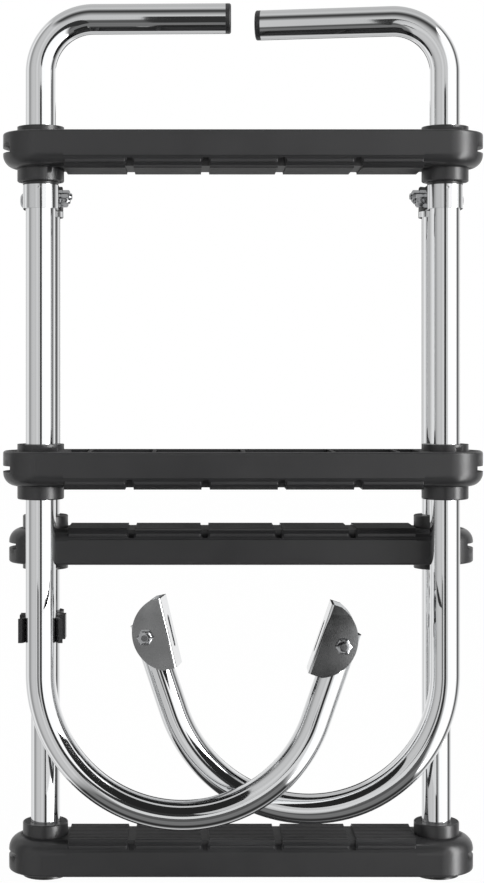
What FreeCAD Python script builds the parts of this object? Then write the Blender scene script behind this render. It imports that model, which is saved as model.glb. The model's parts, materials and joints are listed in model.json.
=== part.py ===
import FreeCAD, Part
import math
import os
import Sketcher
from FreeCAD import Placement, Rotation, Vector

# Folding gunwale ladder of polished tube, four moulded treads, drawn as it is stored.
# Every length is in millimetres and every angle in degrees.
# X runs across the ladder, Y runs back through its depth and Z is up.
# The upper frame stands in front: its two stringers turn in the treads, and each is one
# tube with a stand-off bend at the top and a gunwale hook at the bottom.
# The lower frame hangs behind it from two hinge straps.
# The origin is on the base face of the left hook's deck bracket.

SIZES = {
    # Tube and overall layout
    "tube_od": 25.4,
    "tube_wall": 1.5,
    "running_gap": 0.3,
    "seat_gap": 0.1,
    "stringer_spacing": 342.4,
    "frame_offset": 50,
    "step_pitch": 268,
    "front_low_height": 343.2,
    # Stringer tube
    "standoff_reach": 156.5,
    "standoff_bend": 45,
    "hook_radius": 119.5,
    "hook_lean": 19,
    "hook_leg": 69,
    "hook_tip": 12,
    "hook_height": 184.3,
    "standoff_height": 737.8,
    "left_swing": 1.5,
    "right_swing": -9,
    # Moulded tread
    "tread_depth": 63.4,
    "tread_body": 29.6,
    "tread_proud": 1.8,
    "tread_round": 11.4,
    "tread_foot_round": 2,
    "tread_skirt": 21.5,
    "tread_ledge": 1.4,
    "tread_top_inset": 7,
    "tread_bevel": 2.2,
    "pad_hub_gap": 1.6,
    "hub_od": 39.5,
    "hub_top": 11.2,
    "hub_base": 5.6,
    "hub_round": 1.2,
    "end_slot_depth": 7.6,
    "end_slot_height": 4.8,
    "notch_pitch": 63.5,
    "notch_mouth": 7,
    "notch_floor": 4.6,
    "notch_depth": 8.5,
    "notch_length": 8.5,
    "drain_depth": 1.8,
    "notch_count": 4,
    "tread_shell": 4.5,
    "tread_deck": 3,
    "cell_wall": 3,
    "inner_rib": 75,
    "outer_rib": 129,
    "grip_pitch": 4.6,
    "grip_width": 1.3,
    "grip_depth": 0.9,
    "grip_count": 10,
    # Hinge strap and its bolts
    "strap_thick": 2,
    "strap_height": 20,
    "strap_drop": 2.6,
    "lug_radius": 8,
    "lug_rise": 15.5,
    "lug_taper_start": 15,
    "lug_taper_end": 44,
    "clamp_offset": 26,
    "clamp_rise": 9.5,
    "bolt_od": 6,
    "bolt_gap": 0.1,
    "bolt_spare": 1.8,
    "button_od": 14,
    "button_height": 4.6,
    "button_round": 3.5,
    "nut_flats": 10,
    "nut_height": 6.5,
    "detent_od": 2.6,
    "detent_drop": 3,
    # Hinge plug and collar on top of the lower tubes
    "tongue_depth": 15,
    "plug_disc_od": 31,
    "plug_disc_height": 4,
    "plug_disc_drop": 9.6,
    "plug_spigot": 22,
    "collar_height": 5,
    # End caps
    "cap_height": 4.7,
    "cap_round": 1.8,
    "cap_spigot": 16,
    "cap_wall": 2,
    # Deck bracket
    "bracket_back": 20.5,
    "bracket_plate": 2.5,
    "cheek_gap": 0.9,
    "cheek_up": 30,
    "cheek_down": 31,
    "cheek_radius": 32.5,
    "cheek_centre_back": 0.5,
    "cheek_centre_down": 1,
    "deck_slot_width": 7,
    "deck_slot_length": 28,
    "fold_round": 2.2,
    "right_bracket_turn": -5.5,
    "hook_bolt_od": 8,
    "hook_bolt_flats": 12,
    "hook_head_height": 5,
    "hook_nut_height": 7.5,
    # Transport clip
    "clip_height": 20.5,
    "clip_rise": 210.3,
    "clip_wall": 3.4,
    "clip_lip": 2.4,
    "clip_lip_depth": 4,
    "clip_block": 19.5,
    "clip_block_depth": 15,
    # Reference face
    "origin_below_bolt": 23.5,
}

# Sizes that follow from the driving ones.
DERIVED = {
    "tube_radius": "=tube_od / 2",
    "bore_radius": "=tube_od / 2 - tube_wall",
    "stringer_x": "=stringer_spacing / 2",
    "hook_end_x": "=hook_radius + hook_radius * cos(hook_lean * 1deg)",
    "hook_end_z": "=-hook_radius * sin(hook_lean * 1deg)",
    "bolt_x": "=hook_end_x + hook_leg * sin(hook_lean * 1deg)",
    "bolt_z": "=hook_end_z + hook_leg * cos(hook_lean * 1deg)",
    "tip_x": "=bolt_x + hook_tip * sin(hook_lean * 1deg)",
    "tip_z": "=bolt_z + hook_tip * cos(hook_lean * 1deg)",
    "standoff_rise": "=standoff_height - hook_height",
    "standoff_arc_z": "=standoff_rise - standoff_bend",
    "tread_half": "=tread_depth / 2",
    "tread_total": "=tread_body + tread_proud",
    "pad_half": "=stringer_x - hub_od / 2 - pad_hub_gap",
    "pad_length": "=2 * pad_half",
    "ledge_half": "=tread_half - tread_ledge",
    "top_half": "=tread_half - tread_top_inset",
    "bevel_half": "=top_half + tread_bevel",
    "bevel_z": "=tread_total - tread_bevel",
    "hub_radius": "=hub_od / 2",
    "hub_length": "=tread_body + hub_top + hub_base",
    "hub_bore": "=tube_od / 2 + running_gap",
    "slot_low": "=tread_body / 2 - end_slot_height / 2",
    "slot_high": "=tread_body / 2 + end_slot_height / 2",
    "slot_inner": "=stringer_x + tread_half - end_slot_depth",
    "slot_outer": "=stringer_x + tread_depth",
    "front_high_height": "=front_low_height + step_pitch",
    "back_high_height": "=hub_base + step_pitch",
    "strap_z": "=front_high_height - hub_top - strap_drop - strap_height",
    "ring_z": "=front_high_height - hub_top - strap_drop + seat_gap",
    "ring_height": "=strap_drop - 2 * seat_gap",
    "pivot_z": "=strap_z + lug_rise",
    "lower_tube_length": "=pivot_z - plug_disc_drop - plug_disc_height - cap_height",
    "notch_first": "=-notch_pitch * (notch_count - 1) / 2",
    "notch_first_left": "=notch_first - notch_mouth / 2",
    "notch_first_right": "=notch_first + notch_mouth / 2",
    "notch_floor_left": "=notch_first - notch_floor / 2",
    "notch_floor_right": "=notch_first + notch_floor / 2",
    "notch_span": "=notch_pitch * (notch_count - 1)",
    "notch_low": "=tread_total - notch_depth",
    "notch_high": "=tread_total + notch_depth",
    "drain_low": "=tread_total - drain_depth",
    "grip_first": "=-grip_pitch * (grip_count - 1) / 2",
    "grip_first_near": "=grip_first - grip_width / 2",
    "grip_first_far": "=grip_first + grip_width / 2",
    "grip_span": "=grip_pitch * (grip_count - 1)",
    "grip_low": "=tread_total - grip_depth",
    "cell_roof": "=tread_total - notch_depth - tread_deck",
    "cell_half": "=tread_half - tread_shell",
    "cell_1": "=cell_wall / 2",
    "cell_2": "=inner_rib - cell_wall / 2",
    "cell_3": "=inner_rib + cell_wall / 2",
    "cell_4": "=outer_rib - cell_wall / 2",
    "cell_5": "=outer_rib + cell_wall / 2",
    "cell_6": "=pad_half - cell_wall",
    "strap_bore": "=tube_od / 2 + running_gap",
    "strap_outer": "=strap_bore + strap_thick",
    "strap_width": "=2 * strap_outer",
    "lug_top": "=lug_rise + lug_radius",
    "lug_base": "=lug_rise - lug_radius",
    "strap_back": "=frame_offset + lug_radius",
    "strap_over": "=lug_top + strap_height",
    "strap_past": "=strap_back + strap_height",
    "strap_clear": "=strap_width + tube_od",
    "bolt_length": "=strap_width + nut_height + bolt_spare",
    "bolt_radius": "=bolt_od / 2",
    "bolt_hole": "=bolt_od / 2 + bolt_gap",
    "button_radius": "=button_od / 2",
    "nut_circle": "=nut_flats / sqrt(3)",
    "detent_radius": "=detent_od / 2",
    "detent_z": "=strap_height - detent_drop",
    "tongue_width": "=tube_od",
    "tongue_radius": "=tongue_depth / 2",
    "plug_disc_radius": "=plug_disc_od / 2",
    "plug_disc_top": "=-plug_disc_drop",
    "plug_disc_base": "=-plug_disc_drop - plug_disc_height",
    "plug_end": "=plug_disc_base - plug_spigot",
    "spigot_radius": "=bore_radius - seat_gap",
    "collar_bore": "=tube_radius + seat_gap",
    "cap_inner": "=spigot_radius - cap_wall",
    "bracket_face": "=-bracket_back",
    "plate_inner": "=bracket_plate - bracket_back",
    "cheek_low": "=-cheek_down",
    "cheek_inner": "=tube_radius + cheek_gap",
    "cheek_outer": "=cheek_inner + bracket_plate",
    "bracket_width": "=2 * cheek_outer",
    "channel_width": "=2 * cheek_inner",
    "channel_past": "=cheek_radius + tube_od",
    "cheek_centre_x": "=-bracket_back - cheek_centre_back",
    "cheek_centre_z": "=-cheek_centre_down",
    "cheek_top_reach": "=sqrt(cheek_radius ^ 2 - (cheek_up + cheek_centre_down) ^ 2)",
    "cheek_low_reach": "=sqrt(cheek_radius ^ 2 - (cheek_down - cheek_centre_down) ^ 2)",
    "cheek_top_x": "=cheek_centre_x + cheek_top_reach",
    "cheek_low_x": "=cheek_centre_x + cheek_low_reach",
    "channel_low": "=-2 * cheek_down",
    "channel_high": "=2 * cheek_up",
    "slot_radius": "=deck_slot_width / 2",
    "slot_half": "=deck_slot_length / 2 - slot_radius",
    "slot_up": "=(cheek_up - cheek_down) / 2 + slot_half",
    "slot_down": "=(cheek_up - cheek_down) / 2 - slot_half",
    "hook_bolt_radius": "=hook_bolt_od / 2",
    "hook_bolt_hole": "=hook_bolt_od / 2 + bolt_gap",
    "hook_bolt_length": "=bracket_width + hook_nut_height + bolt_spare / 2",
    "hook_circle": "=hook_bolt_flats / sqrt(3)",
    "hook_head_start": "=-cheek_outer - hook_head_height",
    "tongue_clear": "=tongue_width + tube_od",
    "bracket_clear": "=bracket_width + tube_od",
    "clip_bore": "=tube_radius + seat_gap",
    "clip_outer": "=clip_bore + clip_wall",
    "jaw_inner": "=tube_radius + running_gap",
    "jaw_outer": "=jaw_inner + clip_wall",
    "jaw_flare": "=jaw_outer + clip_lip",
    "jaw_lip_inner": "=jaw_inner + clip_lip",
    "jaw_y": "=-frame_offset",
    "jaw_lip_y": "=-frame_offset - clip_lip_depth",
    "clip_block_near": "=(clip_block_depth - frame_offset) / 2",
    "clip_block_far": "=-(clip_block_depth + frame_offset) / 2",
    "web_near": "=-clip_bore - clip_wall / 2",
    "web_far": "=jaw_inner + clip_wall / 2 - frame_offset",
}

doc = FreeCAD.newDocument("GunwaleLadder")
sheet = doc.addObject("Spreadsheet::Sheet", "Sizes")
for row, (alias, content) in enumerate(list(SIZES.items()) + list(DERIVED.items()), start=1):
    sheet.set(f"A{row}", alias)
    sheet.set(f"B{row}", str(content))
    sheet.setAlias(f"B{row}", alias)
doc.recompute()


def value(term):
    """Number of a size; a leading minus sign turns it round, and 0 stays 0."""
    if term == "0":
        return 0.0
    if term.startswith("-"):
        return -float(sheet.get(term[1:]))
    return float(sheet.get(term))


def formula(term):
    """Expression that reads the same size from the sheet."""
    if term.startswith("-"):
        return "-Sizes." + term[1:]
    return "Sizes." + term


def bind(thing, prop, term):
    """Tie one property of a feature to a size in the sheet."""
    thing.setExpression(prop, formula(term))


STRINGER_X = value("stringer_x")
BACK_Y = value("frame_offset")
HOOK_Z = value("hook_height")
STRAP_Z = value("strap_z")
PIVOT_Z = value("pivot_z")


def new_body(label):
    """Body with its own label, which also names its file."""
    body = doc.addObject("PartDesign::Body", label)
    body.Label = label
    return body


def origin_plane(body, role):
    """One of the body's own three origin planes."""
    return next(item for item in body.Origin.OriginFeatures if item.Role == role)


def new_sketch(body, name, role, lift=None):
    """Sketch on an origin plane of the body, lifted along the plane's normal by a size."""
    sketch = body.newObject("Sketcher::SketchObject", f"{body.Label}_{name}")
    sketch.AttachmentSupport = [(origin_plane(body, role), "")]
    sketch.MapMode = "FlatFace"
    if lift:
        bind(sketch, "AttachmentOffset.Base.z", lift)
    return sketch


def hold_along(sketch, kind, geometry, point, term):
    """Fix one point of a sketch element in one direction, measured from the sketch's origin."""
    index = sketch.addConstraint(Sketcher.Constraint(kind, -1, 1, geometry, point, value(term)))
    if term != "0":
        sketch.setExpression(f"Constraints[{index}]", formula(term))


def hold(sketch, geometry, point, across, up):
    """Fix one point of a sketch element at two sizes."""
    hold_along(sketch, "DistanceX", geometry, point, across)
    hold_along(sketch, "DistanceY", geometry, point, up)


def hold_bend(sketch, geometry, start, end):
    """Fix the bend of an arc: a half circle by its centre, any other arc by its radius."""
    if start[0] == end[0]:
        hold_along(sketch, "DistanceX", geometry, 3, start[0])
    elif start[1] == end[1]:
        hold_along(sketch, "DistanceY", geometry, 3, start[1])
    else:
        bend = Sketcher.Constraint("Radius", geometry, value(start[2]))
        size = sketch.addConstraint(bend)
        sketch.setExpression(f"Constraints[{size}]", formula(start[2]))


def circle(sketch, across, up, radius):
    """Circle whose centre and radius are sizes."""
    centre = Vector(value(across), value(up), 0)
    index = sketch.addGeometry(Part.Circle(centre, Vector(0, 0, 1), value(radius)), False)
    hold(sketch, index, 3, across, up)
    size = sketch.addConstraint(Sketcher.Constraint("Radius", index, value(radius)))
    sketch.setExpression(f"Constraints[{size}]", formula(radius))


def arc_between(start, end, radius, bulge):
    """Arc from start to end that bulges to the right of the way (1) or to its left (-1)."""
    chord = end - start
    side = Vector(chord.y, -chord.x, 0)
    side.normalize()
    inset = math.sqrt(max(radius ** 2 - (chord.Length / 2) ** 2, 0))
    centre = (start + end) * 0.5 - side * bulge * inset
    first = start - centre if bulge == 1 else end - centre
    last = end - centre if bulge == 1 else start - centre
    whole = Part.Circle(centre, Vector(0, 0, 1), radius)
    return Part.ArcOfCircle(whole, math.atan2(first.y, first.x), math.atan2(last.y, last.x))


def outline(sketch, corners, closed=True):
    """Chain of straight edges, or arcs where a corner names a radius and a side.

    A corner is (across, up) or (across, up, radius, bulge): the radius belongs to the
    edge that leaves the corner.
    """
    count = len(corners)
    last = count if closed else count - 1
    for step in range(last):
        start = corners[step]
        end = corners[(step + 1) % count]
        first = Vector(value(start[0]), value(start[1]), 0)
        second = Vector(value(end[0]), value(end[1]), 0)
        if len(start) == 2:
            index = sketch.addGeometry(Part.LineSegment(first, second), False)
            ends = (1, 2)
        else:
            index = sketch.addGeometry(arc_between(first, second, value(start[2]), start[3]), False)
            ends = (1, 2) if start[3] == 1 else (2, 1)
            hold_bend(sketch, index, start, end)
        hold(sketch, index, ends[0], start[0], start[1])
        hold(sketch, index, ends[1], end[0], end[1])


def rectangle(sketch, left, low, right, high):
    """Four straight edges between two pairs of sizes."""
    outline(sketch, [(left, low), (right, low), (right, high), (left, high)])


def pad(body, sketch, name, length, symmetric=False, reverse=False):
    """Raise a sketch by a size."""
    feature = body.newObject("PartDesign::Pad", f"{body.Label}_{name}")
    feature.Profile = sketch
    if symmetric:
        feature.SideType = "Symmetric"
    feature.Reversed = reverse
    bind(feature, "Length", length)
    sketch.Visibility = False
    doc.recompute()
    return feature


def pocket(body, sketch, name, length, symmetric=False, reverse=False):
    """Sink a sketch by a size and make sure that it takes material away."""
    before = body.Shape.Volume
    feature = body.newObject("PartDesign::Pocket", f"{body.Label}_{name}")
    feature.Profile = sketch
    if symmetric:
        feature.SideType = "Symmetric"
    feature.Reversed = reverse
    bind(feature, "Length", length)
    doc.recompute()
    if not body.Shape.Volume < before:
        raise RuntimeError(f"{feature.Label} cuts nothing")
    return feature


def edges_where(shape, wanted):
    """Names of the edges whose two ends and middle all satisfy a test."""
    names = []
    for number, edge in enumerate(shape.Edges, start=1):
        middle = edge.valueAt((edge.FirstParameter + edge.LastParameter) / 2)
        points = [vertex.Point for vertex in edge.Vertexes] + [middle]
        if all(wanted(point) for point in points):
            names.append(f"Edge{number}")
    return names


def fillet(body, name, wanted, radius):
    """Round the edges of the body that satisfy a test."""
    tip = body.Tip
    feature = body.newObject("PartDesign::Fillet", f"{body.Label}_{name}")
    feature.Base = (tip, edges_where(tip.Shape, wanted))
    bind(feature, "Radius", radius)
    doc.recompute()
    return feature


def near(first, second):
    """True where two lengths agree within a hundredth."""
    return abs(first - second) < 0.01


def row_of(body, feature, name, role, length, count):
    """Repeat a feature in a straight row along one origin axis of the body."""
    pattern = body.newObject("PartDesign::LinearPattern", f"{body.Label}_{name}")
    pattern.Originals = [feature]
    pattern.Direction = (origin_plane(body, role), [""])
    bind(pattern, "Length", length)
    bind(pattern, "Occurrences", count)
    body.Tip = pattern
    doc.recompute()
    return pattern


def place(body, position, rotation=None):
    """Set a piece where it belongs, measured from the reference face."""
    body.Placement = Placement(position - ORIGIN, rotation or Rotation())


def swing_of(side):
    """Turn of a stringer about its own axis: the hook points inwards, then swings."""
    if side == "left":
        return Rotation(Vector(0, 0, 1), -value("left_swing"))
    return Rotation(Vector(0, 0, 1), 180 + value("right_swing"))


def side_x(side):
    """Place of a stringer across the ladder."""
    return -STRINGER_X if side == "left" else STRINGER_X


# Point of the left bracket's base face that is the origin of the whole ladder.
HOOK_TILT = Rotation(Vector(0, 1, 0), value("hook_lean"))
BOLT_POINT = Vector(value("bolt_x"), 0, value("bolt_z"))
FACE_POINT = Vector(value("bracket_face"), 0, -value("origin_below_bolt"))
LEFT_ROOT = Vector(-STRINGER_X, 0, HOOK_Z)
ORIGIN = LEFT_ROOT + swing_of("left").multVec(BOLT_POINT + HOOK_TILT.multVec(FACE_POINT))


def make_stringer(side):
    """One bent tube: stand-off, straight run and gunwale hook in one plane."""
    body = new_body(f"{side}_stringer")
    path = new_sketch(body, "path", "XZ_Plane")
    outline(path, [
        ("standoff_reach", "standoff_rise"),
        ("standoff_bend", "standoff_rise", "standoff_bend", 1),
        ("0", "standoff_arc_z"),
        ("0", "0", "hook_radius", 1),
        ("hook_end_x", "hook_end_z"),
        ("tip_x", "tip_z"),
    ], closed=False)
    ring = new_sketch(body, "section", "YZ_Plane", "standoff_reach")
    circle(ring, "0", "standoff_rise", "tube_radius")
    circle(ring, "0", "standoff_rise", "bore_radius")
    pipe = body.newObject("PartDesign::AdditivePipe", f"{side}_stringer_bend")
    pipe.Profile = ring
    pipe.Spine = (path, [f"Edge{number}" for number in range(1, len(path.Shape.Edges) + 1)])
    doc.recompute()
    hole = new_sketch(body, "hook_hole", "XZ_Plane")
    circle(hole, "bolt_x", "bolt_z", "hook_bolt_hole")
    pocket(body, hole, "hook_hole_cut", "tube_od", symmetric=True)
    place(body, Vector(side_x(side), 0, HOOK_Z), swing_of(side))
    return body


def make_cap(label, position, rotation):
    """Moulded end cap: a rounded head and a hollow spigot pressed into the tube."""
    body = new_body(label)
    head = new_sketch(body, "head", "XY_Plane")
    circle(head, "0", "0", "tube_radius")
    pad(body, head, "head_pad", "cap_height")
    fillet(body, "head_round", lambda point: near(point.z, value("cap_height")), "cap_round")
    spigot = new_sketch(body, "spigot", "XY_Plane")
    circle(spigot, "0", "0", "spigot_radius")
    pad(body, spigot, "spigot_pad", "cap_spigot", reverse=True)
    hollow = new_sketch(body, "hollow", "XY_Plane")
    circle(hollow, "0", "0", "cap_inner")
    pocket(body, hollow, "hollow_cut", "cap_spigot")
    place(body, position, rotation)
    return body


def make_tread(label, centre_y, low_z, flipped):
    """Moulded tread: round ends with hubs, a proud ribbed step and an open underside."""
    body = new_body(label)
    plan = new_sketch(body, "plan", "XY_Plane")
    outline(plan, [
        ("-stringer_x", "-tread_half"),
        ("stringer_x", "-tread_half", "tread_half", 1),
        ("stringer_x", "tread_half"),
        ("-stringer_x", "tread_half", "tread_half", 1),
    ])
    pad(body, plan, "plan_pad", "tread_body")
    fillet(body, "step_round", lambda point: near(point.z, value("tread_body")), "tread_round")
    fillet(body, "foot_round", lambda point: near(point.z, 0), "tread_foot_round")
    section = new_sketch(body, "section", "YZ_Plane")
    outline(section, [
        ("-tread_half", "tread_foot_round"),
        ("tread_half", "tread_foot_round"),
        ("tread_half", "tread_skirt"),
        ("ledge_half", "tread_skirt"),
        ("bevel_half", "bevel_z"),
        ("top_half", "tread_total"),
        ("-top_half", "tread_total"),
        ("-bevel_half", "bevel_z"),
        ("-ledge_half", "tread_skirt"),
        ("-tread_half", "tread_skirt"),
    ])
    pad(body, section, "step_pad", "pad_length", symmetric=True)
    hubs = new_sketch(body, "hubs", "XY_Plane", "-hub_base")
    circle(hubs, "-stringer_x", "0", "hub_radius")
    circle(hubs, "stringer_x", "0", "hub_radius")
    pad(body, hubs, "hub_pad", "hub_length")
    rim = value("tread_body") + value("hub_top")
    fillet(body, "hub_round", lambda point: near(point.z, rim), "hub_round")
    bores = new_sketch(body, "bores", "XY_Plane", "-hub_base")
    circle(bores, "-stringer_x", "0", "hub_bore")
    circle(bores, "stringer_x", "0", "hub_bore")
    pocket(body, bores, "bore_cut", "hub_length", reverse=True)
    slots = new_sketch(body, "end_slots", "XZ_Plane")
    rectangle(slots, "-slot_outer", "slot_low", "-slot_inner", "slot_high")
    rectangle(slots, "slot_inner", "slot_low", "slot_outer", "slot_high")
    pocket(body, slots, "slot_cut", "tread_depth", symmetric=True)
    cells = new_sketch(body, "cells", "XY_Plane")
    for near_wall, far_wall in (("cell_1", "cell_2"), ("cell_3", "cell_4"), ("cell_5", "cell_6")):
        rectangle(cells, near_wall, "-cell_half", far_wall, "cell_half")
        rectangle(cells, "-" + far_wall, "-cell_half", "-" + near_wall, "cell_half")
    pocket(body, cells, "cell_cut", "cell_roof", reverse=True)
    for edge, lift in (("near", "tread_half"), ("far", "-tread_half")):
        notch = new_sketch(body, f"{edge}_notch", "XZ_Plane", lift)
        outline(notch, [
            ("notch_floor_left", "notch_low"),
            ("notch_floor_right", "notch_low"),
            ("notch_first_right", "tread_total"),
            ("notch_first_right", "notch_high"),
            ("notch_first_left", "notch_high"),
            ("notch_first_left", "tread_total"),
        ])
        first = pocket(body, notch, f"{edge}_notch_cut", "notch_length", reverse=edge == "far")
        row_of(body, first, f"{edge}_notches", "X_Axis", "notch_span", "notch_count")
    drain = new_sketch(body, "drain", "XZ_Plane")
    rectangle(drain, "notch_first_left", "drain_low", "notch_first_right", "notch_high")
    first_drain = pocket(body, drain, "drain_cut", "tread_depth", symmetric=True)
    row_of(body, first_drain, "drains", "X_Axis", "notch_span", "notch_count")
    grip = new_sketch(body, "grip", "YZ_Plane")
    rectangle(grip, "grip_first_near", "grip_low", "grip_first_far", "notch_high")
    first_grip = pocket(body, grip, "grip_cut", "pad_length", symmetric=True)
    row_of(body, first_grip, "grips", "Y_Axis", "grip_span", "grip_count")
    if flipped:
        place(body, Vector(0, centre_y, low_z + value("tread_body")), Rotation(Vector(1, 0, 0), 180))
    else:
        place(body, Vector(0, centre_y, low_z))
    return body


def make_strap(side):
    """Strap bent round the stringer, with two lugs that reach back to the pivot."""
    body = new_body(f"{side}_hinge_strap")
    plan = new_sketch(body, "plan", "XY_Plane")
    outline(plan, [
        ("-strap_outer", "0", "strap_outer", 1),
        ("strap_outer", "0"),
        ("strap_outer", "strap_back"),
        ("strap_bore", "strap_back"),
        ("strap_bore", "0", "strap_bore", -1),
        ("-strap_bore", "0"),
        ("-strap_bore", "strap_back"),
        ("-strap_outer", "strap_back"),
    ])
    pad(body, plan, "plan_pad", "lug_top")
    above = new_sketch(body, "above", "YZ_Plane")
    outline(above, [
        ("-strap_width", "strap_height"),
        ("lug_taper_start", "strap_height"),
        ("lug_taper_end", "lug_top"),
        ("lug_taper_end", "strap_over"),
        ("-strap_width", "strap_over"),
    ])
    pocket(body, above, "above_cut", "strap_clear", symmetric=True)
    below = new_sketch(body, "below", "YZ_Plane")
    outline(below, [
        ("lug_taper_start", "0"),
        ("lug_taper_end", "lug_base"),
        ("strap_past", "lug_base"),
        ("strap_past", "-strap_height"),
        ("lug_taper_start", "-strap_height"),
    ])
    pocket(body, below, "below_cut", "strap_clear", symmetric=True)
    rear = new_sketch(body, "rear", "YZ_Plane")
    outline(rear, [
        ("frame_offset", "lug_base", "lug_radius", 1),
        ("frame_offset", "lug_top"),
        ("strap_past", "lug_top"),
        ("strap_past", "lug_base"),
    ])
    pocket(body, rear, "rear_cut", "strap_clear", symmetric=True)
    holes = new_sketch(body, "holes", "YZ_Plane")
    circle(holes, "frame_offset", "lug_rise", "bolt_hole")
    circle(holes, "clamp_offset", "clamp_rise", "bolt_hole")
    pocket(body, holes, "bolt_cut", "strap_clear", symmetric=True)
    dimple = new_sketch(body, "dimple", "XZ_Plane")
    circle(dimple, "0", "detent_z", "detent_radius")
    pocket(body, dimple, "dimple_cut", "strap_width", reverse=True)
    place(body, Vector(side_x(side), 0, STRAP_Z))
    return body


def make_ring(label, outer, bore, height, position):
    """Plain round ring or washer."""
    body = new_body(label)
    ring = new_sketch(body, "ring", "XY_Plane")
    circle(ring, "0", "0", outer)
    circle(ring, "0", "0", bore)
    pad(body, ring, "ring_pad", height)
    place(body, position)
    return body


def make_button_bolt(label, side, y, z):
    """Round-headed bolt across both lugs of a strap, its head on the outer side."""
    body = new_body(label)
    shank = new_sketch(body, "shank", "XY_Plane", "-strap_outer")
    circle(shank, "0", "0", "bolt_radius")
    pad(body, shank, "shank_pad", "bolt_length")
    head = new_sketch(body, "head", "XY_Plane", "-strap_outer")
    circle(head, "0", "0", "button_radius")
    pad(body, head, "head_pad", "button_height", reverse=True)
    crown = -value("strap_outer") - value("button_height")
    fillet(body, "head_round", lambda point: near(point.z, crown), "button_round")
    turn = Rotation(Vector(0, 1, 0), 90 if side == "left" else -90)
    place(body, Vector(side_x(side), y, z), turn)
    return body


def make_hexagon(name, circle_size, height, start):
    """Six-sided prism that starts at a size along its axis."""
    prism = doc.addObject("Part::Prism", name)
    prism.Polygon = 6
    bind(prism, "Circumradius", circle_size)
    bind(prism, "Height", height)
    if start:
        bind(prism, "Placement.Base.z", start)
    return prism


def make_cylinder(name, radius, height, start):
    """Cylinder that starts at a size along its axis."""
    cylinder = doc.addObject("Part::Cylinder", name)
    bind(cylinder, "Radius", radius)
    bind(cylinder, "Height", height)
    if start:
        bind(cylinder, "Placement.Base.z", start)
    return cylinder


def make_nut(label, circle_size, bore, height, position, rotation):
    """Hexagon nut, bored for its bolt."""
    nut = doc.addObject("Part::Cut", label)
    nut.Base = make_hexagon(f"{label}_blank", circle_size, height, None)
    nut.Tool = make_cylinder(f"{label}_thread", bore, height, None)
    doc.recompute()
    place(nut, position, rotation)
    return nut


def make_hook_bolt(label, position, rotation):
    """Hexagon-headed bolt across the deck bracket, its head in front."""
    bolt = doc.addObject("Part::Fuse", label)
    bolt.Base = make_hexagon(f"{label}_head", "hook_circle", "hook_head_height", "hook_head_start")
    bolt.Tool = make_cylinder(f"{label}_shank", "hook_bolt_radius", "hook_bolt_length", "-cheek_outer")
    doc.recompute()
    place(bolt, position, rotation)
    return bolt


def make_hinge_plug(label, position):
    """Moulded plug in the top of a lower tube; its tongue turns between the lugs."""
    body = new_body(label)
    tongue = new_sketch(body, "tongue", "YZ_Plane")
    outline(tongue, [
        ("-tongue_radius", "plug_disc_base"),
        ("tongue_radius", "plug_disc_base"),
        ("tongue_radius", "0", "tongue_radius", 1),
        ("-tongue_radius", "0"),
    ])
    pad(body, tongue, "tongue_pad", "tongue_width", symmetric=True)
    disc = new_sketch(body, "disc", "XY_Plane", "plug_disc_base")
    circle(disc, "0", "0", "plug_disc_radius")
    pad(body, disc, "disc_pad", "plug_disc_height")
    spigot = new_sketch(body, "spigot", "XY_Plane", "plug_disc_base")
    circle(spigot, "0", "0", "spigot_radius")
    pad(body, spigot, "spigot_pad", "plug_spigot", reverse=True)
    hole = new_sketch(body, "hole", "YZ_Plane")
    circle(hole, "0", "0", "bolt_hole")
    pocket(body, hole, "hole_cut", "tongue_clear", symmetric=True)
    place(body, position)
    return body


def make_bracket(side, position, rotation):
    """Folded channel: a slotted base plate and two D-shaped cheeks that hold the hook's end."""
    body = new_body(f"{side}_deck_bracket")
    profile = new_sketch(body, "profile", "XZ_Plane")
    outline(profile, [
        ("bracket_face", "cheek_low"),
        ("bracket_face", "cheek_up"),
        ("cheek_top_x", "cheek_up", "cheek_radius", -1),
        ("cheek_low_x", "cheek_low"),
    ])
    pad(body, profile, "profile_pad", "bracket_width", symmetric=True)
    channel = new_sketch(body, "channel", "XZ_Plane")
    rectangle(channel, "plate_inner", "channel_low", "channel_past", "channel_high")
    pocket(body, channel, "channel_cut", "channel_width", symmetric=True)
    face = value("bracket_face")
    flank = value("cheek_outer")
    fillet(body, "fold", lambda point: near(point.x, face) and near(abs(point.y), flank), "fold_round")
    slot = new_sketch(body, "slot", "YZ_Plane")
    outline(slot, [
        ("-slot_radius", "slot_down", "slot_radius", 1),
        ("slot_radius", "slot_down"),
        ("slot_radius", "slot_up", "slot_radius", 1),
        ("-slot_radius", "slot_up"),
    ])
    pocket(body, slot, "slot_cut", "bracket_back")
    hole = new_sketch(body, "hole", "XZ_Plane")
    circle(hole, "0", "0", "hook_bolt_hole")
    pocket(body, hole, "hole_cut", "bracket_clear", symmetric=True)
    place(body, position, rotation)
    return body


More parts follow.
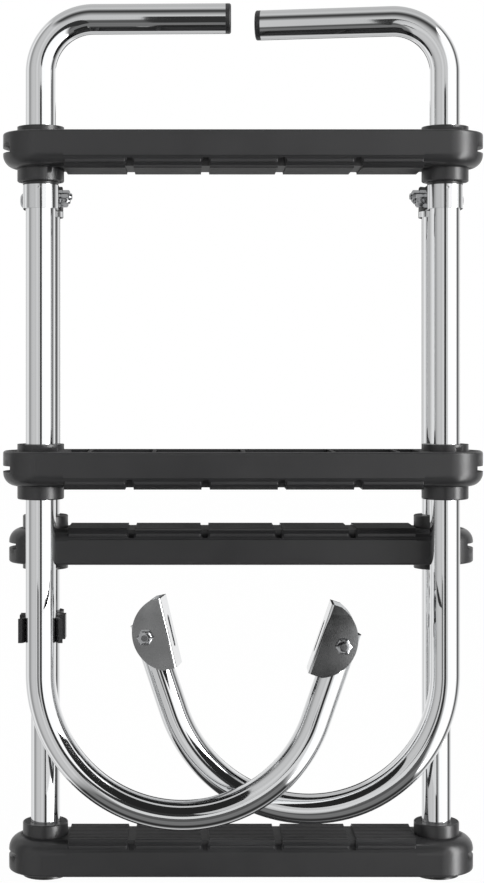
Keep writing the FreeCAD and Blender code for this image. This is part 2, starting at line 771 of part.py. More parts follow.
def make_clip():
    """Moulded clip on the left lower tube that snaps round the stringer for storage."""
    body = new_body("transport_clip")
    ring = new_sketch(body, "ring", "XY_Plane")
    circle(ring, "0", "0", "clip_outer")
    pad(body, ring, "ring_pad", "clip_height")
    web = new_sketch(body, "web", "XY_Plane")
    rectangle(web, "-clip_wall", "web_far", "clip_wall", "web_near")
    pad(body, web, "web_pad", "clip_height")
    block = new_sketch(body, "block", "XY_Plane")
    rectangle(block, "-clip_block", "clip_block_far", "clip_block", "clip_block_near")
    pad(body, block, "block_pad", "clip_height")
    jaws = new_sketch(body, "jaws", "XY_Plane")
    outline(jaws, [
        ("-jaw_outer", "jaw_y", "jaw_outer", -1),
        ("jaw_outer", "jaw_y"),
        ("jaw_flare", "jaw_lip_y"),
        ("jaw_lip_inner", "jaw_lip_y"),
        ("jaw_inner", "jaw_y", "jaw_inner", 1),
        ("-jaw_inner", "jaw_y"),
        ("-jaw_lip_inner", "jaw_lip_y"),
        ("-jaw_flare", "jaw_lip_y"),
    ])
    pad(body, jaws, "jaw_pad", "clip_height")
    bore = new_sketch(body, "bore", "XY_Plane")
    circle(bore, "0", "0", "clip_bore")
    pocket(body, bore, "bore_cut", "clip_height", reverse=True)
    place(body, Vector(-STRINGER_X, BACK_Y, value("clip_rise")))
    return body


ladder = []

# Upper frame: two treads, upside down while stored, and the hinge straps below the top one.
ladder.append(make_tread("upper_tread_high", 0, value("front_high_height"), True))
ladder.append(make_tread("upper_tread_low", 0, value("front_low_height"), True))
for side in ("left", "right"):
    x = side_x(side)
    inward = 1 if side == "left" else -1
    inner_face = x + inward * value("strap_outer")
    turn = Rotation(Vector(0, 1, 0), 90 * inward)
    clamp_y = value("clamp_offset")
    clamp_z = STRAP_Z + value("clamp_rise")
    ladder.append(make_strap(side))
    ladder.append(make_ring(f"{side}_spacer_ring", "strap_outer", "strap_bore", "ring_height",
                            Vector(x, 0, value("ring_z"))))
    ladder.append(make_button_bolt(f"{side}_clamp_bolt", side, clamp_y, clamp_z))
    ladder.append(make_nut(f"{side}_clamp_nut", "nut_circle", "bolt_hole", "nut_height",
                           Vector(inner_face, clamp_y, clamp_z), turn))
    ladder.append(make_button_bolt(f"{side}_pivot_bolt", side, BACK_Y, PIVOT_Z))
    ladder.append(make_nut(f"{side}_pivot_nut", "nut_circle", "bolt_hole", "nut_height",
                           Vector(inner_face, BACK_Y, PIVOT_Z), turn))

# Stringers with their end caps, and the deck brackets at the ends of the hooks.
for side in ("left", "right"):
    swing = swing_of(side)
    root = Vector(side_x(side), 0, HOOK_Z)
    end = root + swing.multVec(Vector(value("standoff_reach"), 0, value("standoff_rise")))
    ladder.append(make_stringer(side))
    ladder.append(make_cap(f"{side}_standoff_cap", end, swing.multiply(Rotation(Vector(0, 1, 0), 90))))
    bolt_point = root + swing.multVec(BOLT_POINT)
    rest_turn = value("right_bracket_turn") if side == "right" else 0
    lean = Rotation(Vector(0, 1, 0), value("hook_lean") + rest_turn)
    across = Rotation(Vector(1, 0, 0), -90) if side == "left" else Rotation(Vector(1, 0, 0), 90)
    bolt_turn = swing.multiply(across)
    nut_point = bolt_point + bolt_turn.multVec(Vector(0, 0, value("cheek_outer")))
    ladder.append(make_bracket(side, bolt_point, swing.multiply(lean)))
    ladder.append(make_hook_bolt(f"{side}_bracket_bolt", bolt_point, bolt_turn))
    ladder.append(make_nut(f"{side}_bracket_nut", "hook_circle", "hook_bolt_hole", "hook_nut_height",
                           nut_point, bolt_turn))

# Lower frame: two straight tubes hung from the hinge, two treads and the transport clip.
for side in ("left", "right"):
    x = side_x(side)
    pivot = Vector(x, BACK_Y, PIVOT_Z)
    tube_foot = Vector(x, BACK_Y, value("cap_height"))
    ladder.append(make_ring(f"{side}_lower_tube", "tube_radius", "bore_radius", "lower_tube_length", tube_foot))
    ladder.append(make_hinge_plug(f"{side}_hinge_plug", pivot))
    ladder.append(make_ring(f"{side}_tube_collar", "plug_disc_radius", "collar_bore", "collar_height",
                            pivot + Vector(0, 0, value("plug_disc_base") - value("collar_height"))))
    ladder.append(make_cap(f"{side}_foot_cap", tube_foot, Rotation(Vector(1, 0, 0), 180)))
ladder.append(make_tread("lower_tread_high", BACK_Y, value("back_high_height"), False))
ladder.append(make_tread("lower_tread_low", BACK_Y, value("hub_base"), False))
ladder.append(make_clip())

doc.recompute()
for item in doc.Objects:
    if "Invalid" in item.State or "Error" in item.State:
        raise RuntimeError(f"{item.Label} failed: {item.State}")
for piece in ladder:
    if piece.Shape.isNull() or not piece.Shape.isValid():
        raise RuntimeError(f"{piece.Label} has no valid shape")

os.makedirs("parts", exist_ok=True)
for piece in ladder:
    piece.Shape.exportStep(f"parts/{piece.Label}.step")
print(len(ladder), "pieces; origin offset", [round(number, 4) for number in ORIGIN])
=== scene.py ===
# %% [markdown]
# # A folding gunwale-hook boat ladder
#
# The ladder is polished stainless tube with four black moulded treads. It is shown as it
# is stored: the upper frame stands in front, upside down, with its two gunwale hooks
# swung inwards, and the lower frame hangs behind it from two hinge straps.
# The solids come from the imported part. This script gives every one of them a finish,
# redraws the tubes with clean rings of faces so that they shine smoothly, and adds the
# small edges and recesses that catch the light.

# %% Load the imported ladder
import json
import math

import bmesh
import bpy
from mathutils import Matrix, Vector


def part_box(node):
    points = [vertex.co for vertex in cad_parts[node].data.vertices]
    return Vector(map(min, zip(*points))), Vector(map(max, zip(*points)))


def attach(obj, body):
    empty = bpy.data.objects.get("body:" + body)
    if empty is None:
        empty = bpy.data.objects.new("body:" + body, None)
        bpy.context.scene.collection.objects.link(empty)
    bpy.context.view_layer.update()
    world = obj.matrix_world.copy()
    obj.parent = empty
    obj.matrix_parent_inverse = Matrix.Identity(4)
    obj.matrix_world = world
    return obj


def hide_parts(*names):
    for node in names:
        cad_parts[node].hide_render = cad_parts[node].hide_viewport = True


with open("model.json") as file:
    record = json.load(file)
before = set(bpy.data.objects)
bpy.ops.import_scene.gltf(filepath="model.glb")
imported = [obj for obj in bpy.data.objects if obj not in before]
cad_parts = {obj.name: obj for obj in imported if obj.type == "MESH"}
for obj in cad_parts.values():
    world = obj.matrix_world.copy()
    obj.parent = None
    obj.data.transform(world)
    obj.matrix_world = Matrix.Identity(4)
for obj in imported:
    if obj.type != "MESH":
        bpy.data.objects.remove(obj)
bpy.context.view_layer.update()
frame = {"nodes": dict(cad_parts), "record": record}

# %% [markdown]
# ## Places and sizes
#
# The real ladder is measured in millimetres from the middle of the upper frame, with
# the lower tread's hubs at height 0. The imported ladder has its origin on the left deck
# bracket, so one function turns a place on the ladder into a place in the scene.

# %% Sizes of the ladder
MM = 0.001
REFERENCE = Vector((56.6416, -5.9662, 195.0898))
STRINGER_X = 171.2
TUBE_RADIUS = 12.7
TUBE_BORE = 11.2
HOOK_RADIUS = 119.5
HOOK_LEAN = math.radians(19)
HOOK_HEIGHT = 184.3
HOOK_LEG_TO_END = 81
STANDOFF_REACH = 156.5
STANDOFF_BEND = 45
STANDOFF_HEIGHT = 737.8
SWING = {"left": math.radians(-1.5), "right": math.radians(171)}
RING_STEPS = 112


def place(x, y, z):
    """Turn a place on the ladder, in millimetres, into a place in the scene, in metres."""
    return (Vector((x, y, z)) - REFERENCE) * MM


print("stringer axis, left:", [round(n, 4) for n in place(-STRINGER_X, 0, 0)])

# %% [markdown]
# ## Colour and nodes
#
# Colours are written as sRGB hex values, as a paint chart gives them, and one function
# turns them into the linear numbers that Blender mixes light with. A second small
# function adds any node with its settings and its links.

# %% Helpers for colour and nodes


def colour(hex_code):
    """Linear colour of an sRGB hex code."""
    parts = [int(hex_code[i:i + 2], 16) / 255 for i in (0, 2, 4)]
    linear = [p / 12.92 if p <= 0.04045 else ((p + 0.055) / 1.055) ** 2.4 for p in parts]
    return (*linear, 1.0)


def add_node(tree, kind, inputs=None, **settings):
    """Add a node, set its properties, and fill or link its inputs."""
    node = tree.nodes.new(kind)
    for key, value in settings.items():
        setattr(node, key, value)
    for key, value in (inputs or {}).items():
        if isinstance(value, bpy.types.NodeSocket):
            tree.links.new(value, node.inputs[key])
        else:
            node.inputs[key].default_value = value
    return node


print("black plastic in linear light:", [round(c, 4) for c in colour("2b2b2c")])

# %% [markdown]
# ## Finishes
#
# Each finish is named for what the real piece is and how its surface was made.
# Stainless steel is a metal, so its look comes from its roughness and from what it
# mirrors. The tubes are buffed to a mirror, the bent straps and brackets are polished
# sheet, and the bolts are bright turned steel. The treads are moulded in black
# plastic with a fine grain, which spreads the highlights.

# %% A shader with fine relief


def finish(name, base, metallic, roughness, grain_mm, relief, rough_spread, shine=0.5):
    """Material with fine noise relief and a roughness that varies a little."""
    material = bpy.data.materials.new(name)
    material.use_nodes = True
    tree = material.node_tree
    shader = tree.nodes["Principled BSDF"]
    shader.inputs["Base Color"].default_value = colour(base)
    shader.inputs["Metallic"].default_value = metallic
    shader.inputs["Roughness"].default_value = roughness
    shader.inputs["Specular IOR Level"].default_value = shine
    spot = add_node(tree, "ShaderNodeTexCoord")
    grain = add_node(tree, "ShaderNodeTexNoise", {
        "Vector": spot.outputs["Object"],
        "Scale": 1 / (grain_mm * MM),
        "Detail": 3.0,
        "Roughness": 0.6,
    })
    bump = add_node(tree, "ShaderNodeBump", {
        "Height": grain.outputs["Fac"],
        "Strength": relief,
        "Distance": 0.0002,
    })
    tree.links.new(bump.outputs["Normal"], shader.inputs["Normal"])
    smear = add_node(tree, "ShaderNodeTexNoise", {
        "Vector": spot.outputs["Object"],
        "Scale": 35.0,
        "Detail": 4.0,
    })
    level = add_node(tree, "ShaderNodeMapRange", {
        "Value": smear.outputs["Fac"],
        "From Min": 0.3,
        "From Max": 0.7,
        "To Min": roughness - rough_spread,
        "To Max": roughness + rough_spread,
    })
    tree.links.new(level.outputs["Result"], shader.inputs["Roughness"])
    return material


# %% The ladder's finishes
FINISHES = {
    # Buffed stainless tube: a clear mirror with the faintest haze from handling.
    "tube_steel": finish("mirror_polished_stainless_tube", "eeeff0", 1.0, 0.045, 6, 0.01, 0.015),
    # Bent stainless sheet, polished less than the tube, so that its shine is softer.
    "strap_steel": finish("polished_stainless_sheet", "e6e7e8", 1.0, 0.11, 1.2, 0.04, 0.03),
    # Turned and rolled stainless fasteners.
    "fastener_steel": finish("bright_stainless_fastener", "b8b9bb", 1.0, 0.14, 0.8, 0.08, 0.04),
    # Injection-moulded tread, black, with the fine spark grain of its mould.
    "tread_plastic": finish("black_moulded_tread_plastic", "2a2a2b", 0.0, 0.33, 0.9, 0.20, 0.05, 0.6),
    # Smaller hard mouldings: hinge plugs, spacer rings and the clip.
    "hinge_plastic": finish("black_moulded_hinge_plastic", "272728", 0.0, 0.33, 0.7, 0.15, 0.04, 0.6),
    # Softer end caps, pushed into the tubes.
    "cap_plastic": finish("black_soft_cap_plastic", "2a2a2b", 0.0, 0.36, 0.9, 0.10, 0.04),
}
slot_of = {entry["node"]: entry["material_slot"] for entry in frame["record"]["subparts"]}
for name, node in frame["nodes"].items():
    node.data.materials.clear()
    node.data.materials.append(FINISHES[slot_of[name]])
print("finishes:", sorted(FINISHES))

# %% [markdown]
# ## Pieces that ride on the ladder
#
# A piece is finished by one function: it links the mesh into the scene, gives it its
# finish, says which body carries it and, where it redraws a solid, hides that solid.

# %% Finish a piece


def add_piece(name, shape, slot, body, stands_for=()):
    """Put a finished bmesh into the scene on a body of the ladder."""
    mesh = bpy.data.meshes.new(name)
    shape.to_mesh(mesh)
    shape.free()
    mesh.materials.append(FINISHES[slot])
    piece = bpy.data.objects.new(name, mesh)
    bpy.context.scene.collection.objects.link(piece)
    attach(piece, body)
    if stands_for:
        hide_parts(*stands_for)
    return piece


def smooth_by_angle(piece, degrees):
    """Shade a piece smoothly except across edges sharper than an angle."""
    mesh = piece.data
    for face in mesh.polygons:
        face.use_smooth = True
    mesh.set_sharp_from_angle(angle=math.radians(degrees))
    even = piece.modifiers.new("even_normals", "WEIGHTED_NORMAL")
    even.keep_sharp = True
    even.weight = 80


body_of_node = {}
for body, members in frame["record"]["behaviour"]["bodies"].items():
    for member in members:
        body_of_node[member] = body

# %% [markdown]
# ## Tubes
#
# A bent tube is a circle that is carried along its path. Here the circle starts at the
# capped end of the stand-off, runs straight, is spun round the stand-off bend, runs
# down the stringer, is spun round the gunwale hook and ends beyond the bracket bolt.
# Spinning gives exact rings of faces, so the long reflections stay clean.

# %% Steps that carry a ring of edges


def edges_between(geometry, verts):
    """Edges of a result whose two ends are both among some vertices."""
    chosen = set(verts)
    return [g for g in geometry if isinstance(g, bmesh.types.BMEdge) and set(g.verts) <= chosen]


def run_straight(shape, ring, step):
    """Extrude a ring of edges by a vector and return the new ring."""
    grown = bmesh.ops.extrude_edge_only(shape, edges=ring)["geom"]
    verts = [g for g in grown if isinstance(g, bmesh.types.BMVert)]
    bmesh.ops.translate(shape, verts=verts, vec=step)
    return edges_between(grown, verts)


def run_bend(shape, ring, centre, angle, steps):
    """Spin a ring of edges round an axis that lies across the ladder's depth."""
    verts = list({v for edge in ring for v in edge.verts})
    turned = bmesh.ops.spin(
        shape, geom=verts + ring, cent=centre, axis=(0, 1, 0), dvec=(0, 0, 0),
        angle=angle, steps=steps, use_merge=False, use_normal_flip=False, use_duplicate=False,
    )["geom_last"]
    verts = [g for g in turned if isinstance(g, bmesh.types.BMVert)]
    return edges_between(turned, verts)


def close_end(shape, ring, inward):
    """Turn an open tube end into a wall with a bore, closed deep inside."""
    rim = run_straight(shape, ring, (0, 0, 0))
    verts = list({v for edge in rim for v in edge.verts})
    middle = sum((v.co for v in verts), Vector()) / len(verts)
    bore = TUBE_BORE / TUBE_RADIUS
    bmesh.ops.scale(shape, vec=(bore, bore, bore), verts=verts, space=Matrix.Translation(-middle))
    deep = run_straight(shape, rim, inward)
    bmesh.ops.contextual_create(shape, geom=deep)


# %% The two bent stringers
def make_stringer(side):
    """Draw one stringer in its own plane, then turn it to where it is stored."""
    rise = STANDOFF_HEIGHT - HOOK_HEIGHT
    shape = bmesh.new()
    bmesh.ops.create_circle(
        shape, cap_ends=False, segments=RING_STEPS, radius=TUBE_RADIUS,
        matrix=Matrix.Translation((STANDOFF_REACH, 0, rise)) @ Matrix.Rotation(math.pi / 2, 4, "Y"),
    )
    start = list(shape.edges)
    ring = run_straight(shape, start, (STANDOFF_BEND - STANDOFF_REACH, 0, 0))
    bend_centre = (STANDOFF_BEND, 0, rise - STANDOFF_BEND)
    ring = run_bend(shape, ring, bend_centre, -math.pi / 2, 56)
    ring = run_straight(shape, ring, (0, 0, STANDOFF_BEND - rise))
    ring = run_bend(shape, ring, (HOOK_RADIUS, 0, 0), -(math.pi - HOOK_LEAN), 160)
    leg = Vector((math.sin(HOOK_LEAN), 0, math.cos(HOOK_LEAN)))
    ring = run_straight(shape, ring, leg * HOOK_LEG_TO_END)
    close_end(shape, ring, leg * -25)
    close_end(shape, start, (-10, 0, 0))
    bmesh.ops.recalc_face_normals(shape, faces=list(shape.faces))
    root = Matrix.Translation(place(STRINGER_X if side == "right" else -STRINGER_X, 0, HOOK_HEIGHT))
    turn = Matrix.Rotation(SWING[side], 4, "Z")
    bmesh.ops.transform(shape, matrix=root @ turn @ Matrix.Scale(MM, 4), verts=list(shape.verts))
    body = f"{side}_stringer"
    piece = add_piece(f"{side}_stringer_tube", shape, "tube_steel", body, [body])
    for face in piece.data.polygons:
        face.use_smooth = True
    piece.data.set_sharp_from_angle(angle=math.radians(40))
    return piece


for side in ("left", "right"):
    tube = make_stringer(side)
    print(tube.name, "faces:", len(tube.data.polygons))

# %% [markdown]
# The lower tubes are straight, so each is one ring carried up from its foot to the
# steel collar below the hinge.

# %% The two straight lower tubes
for side in ("left", "right"):
    low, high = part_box(f"{side}_lower_tube")
    centre = (low + high) / 2
    shape = bmesh.new()
    bmesh.ops.create_circle(
        shape, cap_ends=False, segments=RING_STEPS, radius=TUBE_RADIUS * MM,
        matrix=Matrix.Translation((centre.x, centre.y, low.z)),
    )
    start = list(shape.edges)
    ring = run_straight(shape, start, (0, 0, high.z - low.z))
    close_end(shape, ring, (0, 0, -0.01))
    close_end(shape, start, (0, 0, 0.01))
    bmesh.ops.recalc_face_normals(shape, faces=list(shape.faces))
    name = f"{side}_lower_tube"
    tube = add_piece(f"{name}_skin", shape, "tube_steel", "lower_frame", [name])
    smooth_by_angle(tube, 40)
    print(tube.name, "height in mm:", round((high.z - low.z) / MM, 1))

# %% [markdown]
# ## Moulded and bent pieces
#
# The other solids keep their shape. Each is copied, its loose triangles are joined and
# it is shaded smoothly up to a sharp edge, so that the rounded treads and rings catch
# a soft, even light.

# %% Smooth copies of the other solids
drawn_new = ("stringer", "lower_tube", "bolt", "nut")
for name, node in frame["nodes"].items():
    if name.endswith(drawn_new):
        continue
    shape = bmesh.new()
    shape.from_mesh(node.data)
    bmesh.ops.remove_doubles(shape, verts=list(shape.verts), dist=0.000002)
    bmesh.ops.dissolve_limit(
        shape, angle_limit=math.radians(0.2), use_dissolve_boundaries=False,
        verts=list(shape.verts), edges=list(shape.edges), delimit={"NORMAL"},
    )
    copy = add_piece(f"{name}_finished", shape, slot_of[name], body_of_node[name], [name])
    smooth_by_angle(copy, 32)
print("copied:", sum(1 for name in frame["nodes"] if not name.endswith(drawn_new)), "solids")

# %% [markdown]
# ## Bolts and nuts
#
# A bolt or a nut is grown ring by ring along its axis. A ring is round, or six-sided
# where a spanner or a hex key fits, and going from one to the other gives the chamfer
# that a real nut has. The last rings of a bolt are the crests and roots of its thread.

# %% Grow a fastener ring by ring
ROUND = 0
HEX = 1


def grow(name, rings, start, axis, corner, closed):
    """Piece through rings of (place along the axis, size in millimetres, kind)."""
    shape = bmesh.new()
    bmesh.ops.create_circle(shape, cap_ends=False, segments=48, radius=1)
    edges = list(shape.edges)
    first = edges
    for step, (along, size, kind) in enumerate(rings):
        if step:
            edges = run_straight(shape, edges, (0, 0, 0))
        for vert in {v for edge in edges for v in edge.verts}:
            angle = math.atan2(vert.co.y, vert.co.x)
            lean = (angle + math.pi / 6) % (math.pi / 3) - math.pi / 6
            reach = size / math.cos(lean) if kind == HEX else size
            vert.co = (reach * math.cos(angle), reach * math.sin(angle), along)
    if closed:
        bmesh.ops.contextual_create(shape, geom=first)
        bmesh.ops.contextual_create(shape, geom=edges)
    bmesh.ops.remove_doubles(shape, verts=list(shape.verts), dist=0.001)
    bmesh.ops.recalc_face_normals(shape, faces=list(shape.faces))
    turn = Matrix((corner.cross(axis), corner, axis)).transposed().to_4x4()
    place_it = Matrix.Translation(start) @ turn @ Matrix.Scale(MM, 4)
    bmesh.ops.transform(shape, matrix=place_it, verts=list(shape.verts))
    piece = add_piece(f"{name}_finished", shape, "fastener_steel", body_of_node[name], [name])
    smooth_by_angle(piece, 28)
    return piece


def thread(start, end, radius, pitch):
    """Rings of a thread's crests and roots, with a chamfer at its end."""
    turns = int((end - start) / pitch)
    rings = []
    for turn in range(turns):
        along = start + turn * pitch
        rings += [(along, radius, ROUND), (along + pitch / 2, radius * 0.9, ROUND)]
    return rings + [(end - pitch / 2, radius, ROUND), (end, radius * 0.8, ROUND)]


def nut_rings(low, high, half_flats, bore):
    """Rings of a chamfered six-sided nut, from its bore outwards and back."""
    rim = half_flats * 0.95
    return [
        (low, bore, ROUND), (low, rim, ROUND), (low + 0.6, half_flats, HEX),
        (high - 0.9, half_flats, HEX), (high - 0.2, rim, ROUND), (high, rim * 0.9, ROUND),
        (high, bore + 0.4, ROUND), (high - 0.5, bore, ROUND), (low, bore, ROUND),
    ]


print("a thread of 4 mm has", len(thread(0, 4, 3, 1)), "rings")

# %% [markdown]
# The clamp and pivot bolts lie across the hinge straps with round heads outside, each
# with a hex socket. The bracket bolts point back along the bracket joints' own axes.

# %% Bolts and nuts of the straps
HEAD = 4.6
BUTTON = [
    (-2.6, 2.0, HEX), (-4.3, 2.0, HEX), (-HEAD, 2.5, ROUND), (-4.4, 3.9, ROUND), (-3.9, 5.0, ROUND),
    (-3.0, 6.0, ROUND), (-1.9, 6.7, ROUND), (-0.8, 7.0, ROUND), (0, 6.9, ROUND), (0, 3.0, ROUND),
]
for side, inward in (("left", 1), ("right", -1)):
    axis = Vector((inward, 0, 0))
    for kind in ("clamp", "pivot"):
        low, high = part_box(f"{side}_{kind}_bolt")
        length = (high.x - low.x) / MM - HEAD
        head = (low + high) / 2 - axis * (length - HEAD) / 2 * MM
        grow(f"{side}_{kind}_bolt", BUTTON + thread(length - 9, length, 3.0, 1.0), head, axis, Vector((0, 0, 1)), True)
        low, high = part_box(f"{side}_{kind}_nut")
        tall = (high.x - low.x) / MM
        seat = (low + high) / 2 - axis * tall / 2 * MM
        grow(f"{side}_{kind}_nut", nut_rings(0, tall, 5.0, 3.05), seat, axis, Vector((0, 0, 1)), False)
print("strap fasteners: 8")

# %% Bolts and nuts of the deck brackets
HALF_BRACKET = 16.1
joints = {joint["name"]: joint for joint in frame["record"]["behaviour"]["joints"]}
for side in ("left", "right"):
    joint = joints[f"{side}_bracket_turn"]
    axis = Vector(joint["axis"]).normalized()
    axis = axis if axis.y > 0 else -axis
    corner = Vector((axis.y, -axis.x, 0))
    head = [
        (-21.1, 2.6, ROUND), (-20.95, 4.2, ROUND), (-20.5, 5.5, ROUND), (-19.9, 6.0, HEX),
        (-16.7, 6.0, HEX), (-HALF_BRACKET, 5.7, ROUND), (-HALF_BRACKET, 4.0, ROUND),
    ]
    end = HALF_BRACKET + 8.4
    grow(f"{side}_bracket_bolt", head + thread(12, end, 4.0, 1.25), Vector(joint["pos_m"]), axis, corner, True)
    rings = nut_rings(HALF_BRACKET, HALF_BRACKET + 7.5, 6.0, 4.05)
    grow(f"{side}_bracket_nut", rings, Vector(joint["pos_m"]), axis, corner, False)
print("bracket fasteners: 4")

# %% [markdown]
# ## Ribs along the treads
#
# Below the step of each tread a rib runs along both long sides and stops at the
# notches. It throws the two dark lines that the photograph shows there.

# %% Ribs beside the steps
TREADS = {
    "upper_tread_high": (0, 611.2 + 29.6, -1),
    "upper_tread_low": (0, 343.2 + 29.6, -1),
    "lower_tread_high": (50, 5.6 + 268, 1),
    "lower_tread_low": (50, 5.6, 1),
}
RIB_SPANS = [(-149, -99.2), (-91.3, -35.7), (-27.8, 27.8), (35.7, 91.3), (99.2, 149)]
for name, (middle_y, foot_z, up) in TREADS.items():
    shape = bmesh.new()
    for left, right in RIB_SPANS:
        for out in (-28.8, 28.8):
            bar = bmesh.ops.create_cube(shape, size=1)["verts"]
            bmesh.ops.scale(shape, vec=((right - left) * MM, 2.8 * MM, 2.9 * MM), verts=bar)
            spot = place((left + right) / 2, middle_y + out, foot_z + up * 25.6)
            bmesh.ops.translate(shape, vec=spot, verts=bar)
    bmesh.ops.bevel(
        shape, geom=list(shape.edges), offset=0.5 * MM, segments=2, profile=0.5, affect="EDGES", material=-1,
    )
    ribs = add_piece(f"{name}_ribs", shape, "tread_plastic", body_of_node[name])
    smooth_by_angle(ribs, 50)
print("rib bars:", len(TREADS) * len(RIB_SPANS) * 2)

# %% [markdown]
# ## Studio
#
# Polished tube shows the room it stands in, so the room is painted in the world. An
# upright tube mirrors what lies to its left and right, and a level tube mirrors what
# lies above and below, so there is one row of greys for each. The greys were read off
# the photograph, column by column across the tubes. A tall soft box at the right draws
# the highlights on the plastic. It counts only in the first reflection, because in a
# reflection of a reflection it would be a row of dots. The camera itself sees plain white.

# %% Greys round the ladder, by angle from the camera in degrees
SOFT_BOX = 10.0
ACROSS_GREYS = [
    (-180, 0.80), (-140, 0.66), (-128, 0.55), (-112, 0.86), (-102, 0.66), (-88, 0.24),
    (-78, 0.36), (-66, 0.50), (-46, 0.54), (-34, 0.50), (-22, 0.64), (-14, 0.52),
    (10, 0.55), (17, 1.0), (84, 1.0),
    (92, 0.40), (97, 0.09), (106, 0.08), (116, 0.38), (134, 0.74), (165, 0.85),
]
UPRIGHT_GREYS = [
    (-180, 0.60), (-163, 0.70), (-142, 0.46), (-128, 0.51), (-114, 0.60), (-104, 0.30),
    (-94, 0.05), (-84, 0.02), (-75, 0.03), (-67, 0.12), (-59, 0.18), (-51, 0.15), (-43, 0.18),
    (-36, 0.10), (-29, 0.08), (-21, 0.11), (-14, 0.15), (-6, 0.42), (1, 0.96), (8, 0.75),
    (16, 0.50), (23, 0.42), (31, 0.28), (39, 0.12), (47, 0.04), (55, 0.06), (65, 0.28),
    (74, 0.55), (85, 0.52), (100, 0.46), (140, 0.50),
]


def grey_ramp(tree, angle, greys):
    """Colour ramp that runs once round a circle through a grey for each angle."""
    share = add_node(tree, "ShaderNodeMapRange", {
        "Value": angle, "From Min": -math.pi, "From Max": math.pi, "To Min": 0.0, "To Max": 1.0,
    })
    ramp = add_node(tree, "ShaderNodeValToRGB", {"Fac": share.outputs["Result"]})
    stops = ramp.color_ramp.elements
    for step, (degrees, level) in enumerate(greys):
        spot = (degrees + 180) / 360
        stop = stops[step] if step < 2 else stops.new(spot)
        stop.position = spot
        stop.color = (level, level, level, 1)
    return ramp.outputs["Color"]


def fade(tree, source, low, high, start=0.0, end=1.0):
    """Number that runs from start to end while the source runs from low to high."""
    return add_node(tree, "ShaderNodeMapRange", {
        "Value": source, "From Min": low, "From Max": high, "To Min": start, "To Max": end,
    }).outputs["Result"]


def compute(tree, operation, first, second=0.0):
    """Result of one sum on two numbers."""
    return add_node(tree, "ShaderNodeMath", {0: first, 1: second}, operation=operation).outputs[0]


def mix_colour(tree, share, first, second):
    """Colour between two colours."""
    return add_node(tree, "ShaderNodeMix", {0: share, 6: first, 7: second}, data_type="RGBA").outputs[2]


print("greys:", len(ACROSS_GREYS), "across and", len(UPRIGHT_GREYS), "upright")

# %% The room as a world
world = bpy.data.worlds.new("studio")
bpy.context.scene.world = world
world.use_nodes = True
sky = world.node_tree
sky.nodes.clear()
way = add_node(sky, "ShaderNodeTexCoord").outputs["Generated"]
parts = add_node(sky, "ShaderNodeSeparateXYZ", {"Vector": way})
side, depth, lift = (parts.outputs[axis] for axis in "XYZ")
towards = compute(sky, "MULTIPLY", depth, -1.0)
across = compute(sky, "ARCTAN2", side, towards)
upright = compute(sky, "ARCTAN2", lift, towards)
lead = compute(sky, "SUBTRACT", compute(sky, "ABSOLUTE", side), compute(sky, "ABSOLUTE", lift))
sides = grey_ramp(sky, across, ACROSS_GREYS)
level = fade(sky, lead, -0.24, -0.10)
room = mix_colour(sky, level, grey_ramp(sky, upright, UPRIGHT_GREYS), sides)
ray = add_node(sky, "ShaderNodeLightPath")
near_side = fade(sky, across, math.radians(44), math.radians(50))
far_side = fade(sky, across, math.radians(63), math.radians(70), 1.0, 0.0)
box = compute(sky, "MULTIPLY", compute(sky, "MULTIPLY", near_side, far_side), level)
first = compute(sky, "LESS_THAN", ray.outputs["Ray Depth"], 2.5)
bright = compute(sky, "MULTIPLY", compute(sky, "MULTIPLY", box, first), SOFT_BOX)
strength = compute(sky, "ADD", bright, 1.15)
room_light = add_node(sky, "ShaderNodeBackground", {"Color": room, "Strength": strength})
white = add_node(sky, "ShaderNodeBackground", {"Color": (1, 1, 1, 1), "Strength": 1.0})
seen = add_node(sky, "ShaderNodeMixShader", {
    0: ray.outputs["Is Camera Ray"], 1: room_light.outputs[0], 2: white.outputs[0],
})
add_node(sky, "ShaderNodeOutputWorld", {"Surface": seen.outputs[0]})
print("world:", world.name, "nodes:", len(sky.nodes))

# %% [markdown]
# The dark line down the middle of each tube is the photographer with the camera, drawn
# as a tall dark card round the lens. A grey stand beside it dulls the cheek of the
# bracket at the left. Close to the hooks a black flag hangs above and in front, and a
# small white card stands low. A dark drape behind keeps the tops of the lower treads
# black. The camera doesn't see the cards; only the ladder mirrors them.

# %% Cards that only the ladder mirrors


def add_card(name, corners, grey):
    """Flat card through four corners in millimetres, seen only in reflections."""
    shape = bmesh.new()
    bmesh.ops.contextual_create(shape, geom=[shape.verts.new(place(*corner)) for corner in corners])
    mesh = bpy.data.meshes.new(name)
    shape.to_mesh(mesh)
    shape.free()
    paint = bpy.data.materials.new(f"{name}_paint")
    paint.use_nodes = True
    tree = paint.node_tree
    tree.nodes.clear()
    glow = add_node(tree, "ShaderNodeEmission", {"Color": (grey, grey, grey, 1), "Strength": 1.0})
    add_node(tree, "ShaderNodeOutputMaterial", {"Surface": glow.outputs[0]})
    mesh.materials.append(paint)
    card = bpy.data.objects.new(name, mesh)
    bpy.context.scene.collection.objects.link(card)
    card.visible_camera = False
    card.visible_shadow = False
    card.visible_diffuse = False
    return card


cards = [
    add_card("photographer", [(-190, -1440, -450), (170, -1440, -450), (170, -1440, 915), (-190, -1440, 915)], 0.035),
    add_card("grey_stand", [(-760, -1440, -170), (-430, -1440, -170), (-430, -1440, 70), (-760, -1440, 70)], 0.16),
    add_card("black_hook_flag", [(-105, -62, 232), (105, -62, 232), (105, -345, 190), (-105, -345, 190)], 0.02),
    add_card("low_white_card", [(-130, -250, 0), (130, -250, 0), (130, -250, 74), (-130, -250, 74)], 0.75),
    add_card("dark_drape", [(-420, 1500, 220), (560, 1500, 220), (560, 1500, 900), (-420, 1500, 900)], 0.03),
]
print("cards:", [card.name for card in cards])

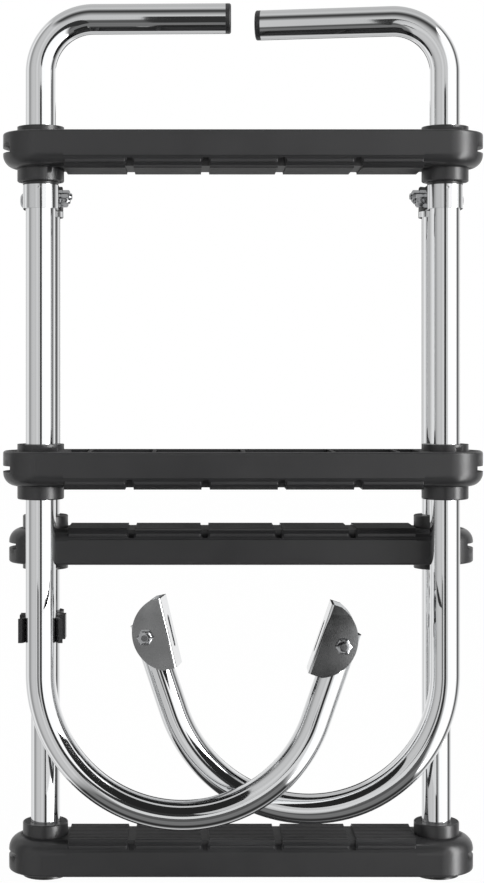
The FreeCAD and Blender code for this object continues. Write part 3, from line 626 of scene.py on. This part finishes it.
# %% [markdown]
# The floor is white where the camera looks at it, and keeps a faint shadow below the
# lowest tread. The metal looks past it at the room. Two soft lamps bring plain colours
# up to the level that they are written in.

# %% Floor and lamps
shape = bmesh.new()
bmesh.ops.create_grid(shape, x_segments=1, y_segments=1, size=8)
bmesh.ops.translate(shape, verts=list(shape.verts), vec=(0, 0, place(0, 0, -1.0).z))
floor_mesh = bpy.data.meshes.new("floor")
shape.to_mesh(floor_mesh)
shape.free()
floor_paint = bpy.data.materials.new("white_studio_floor")
floor_paint.use_nodes = True
tree = floor_paint.node_tree
tree.nodes.clear()
matt = add_node(tree, "ShaderNodeBsdfDiffuse", {"Color": (0.9, 0.9, 0.9, 1)})
glow = add_node(tree, "ShaderNodeEmission", {"Color": (1, 1, 1, 1), "Strength": 1.0})
ray = add_node(tree, "ShaderNodeLightPath")
looked_at = compute(tree, "MULTIPLY", ray.outputs["Is Camera Ray"], 0.98)
surface = add_node(tree, "ShaderNodeMixShader", {0: looked_at, 1: matt.outputs[0], 2: glow.outputs[0]})
add_node(tree, "ShaderNodeOutputMaterial", {"Surface": surface.outputs[0]})
floor_mesh.materials.append(floor_paint)
floor = bpy.data.objects.new("floor", floor_mesh)
floor.visible_glossy = False
bpy.context.scene.collection.objects.link(floor)


def add_lamp(name, spot, aim, size, power):
    """Large soft lamp that points at a place."""
    light = bpy.data.lights.new(name, "AREA")
    light.shape = "RECTANGLE"
    light.size, light.size_y = size
    light.energy = power
    lamp = bpy.data.objects.new(name, light)
    lamp.location = spot
    lamp.rotation_mode = "QUATERNION"
    lamp.rotation_quaternion = (aim - spot).to_track_quat("-Z", "Y")
    lamp.visible_glossy = False
    bpy.context.scene.collection.objects.link(lamp)
    return lamp


middle = place(0, 25, 380)
add_lamp("front_soft_lamp", place(300, -1900, 1500), middle, (1.6, 1.6), 0.8)
add_lamp("top_soft_lamp", place(-300, 300, 2200), middle, (1.4, 1.4), 3.5)

# %% [markdown]
# ## Camera
#
# The photograph was taken level, from about 1.45 m, a little left of the ladder's
# middle and above it, and cut to the ladder afterwards, so the lens is shifted.

# %% Camera at the photograph's angle
FOCAL_PX = 1712
TALL_PX = 883
lens = bpy.data.cameras.new("photo_camera")
lens.sensor_width = 36
lens.lens = FOCAL_PX / TALL_PX * 36
lens.shift_x = 57 / TALL_PX
lens.shift_y = -72.4 / TALL_PX
camera = bpy.data.objects.new("photo_camera", lens)
camera.location = place(-49, -1450, 441.8)
camera.rotation_euler = (math.pi / 2, 0, 0)
bpy.context.scene.collection.objects.link(camera)
bpy.context.scene.camera = camera
bpy.context.scene.view_settings.view_transform = "Standard"
print("lens in mm:", round(lens.lens, 2))
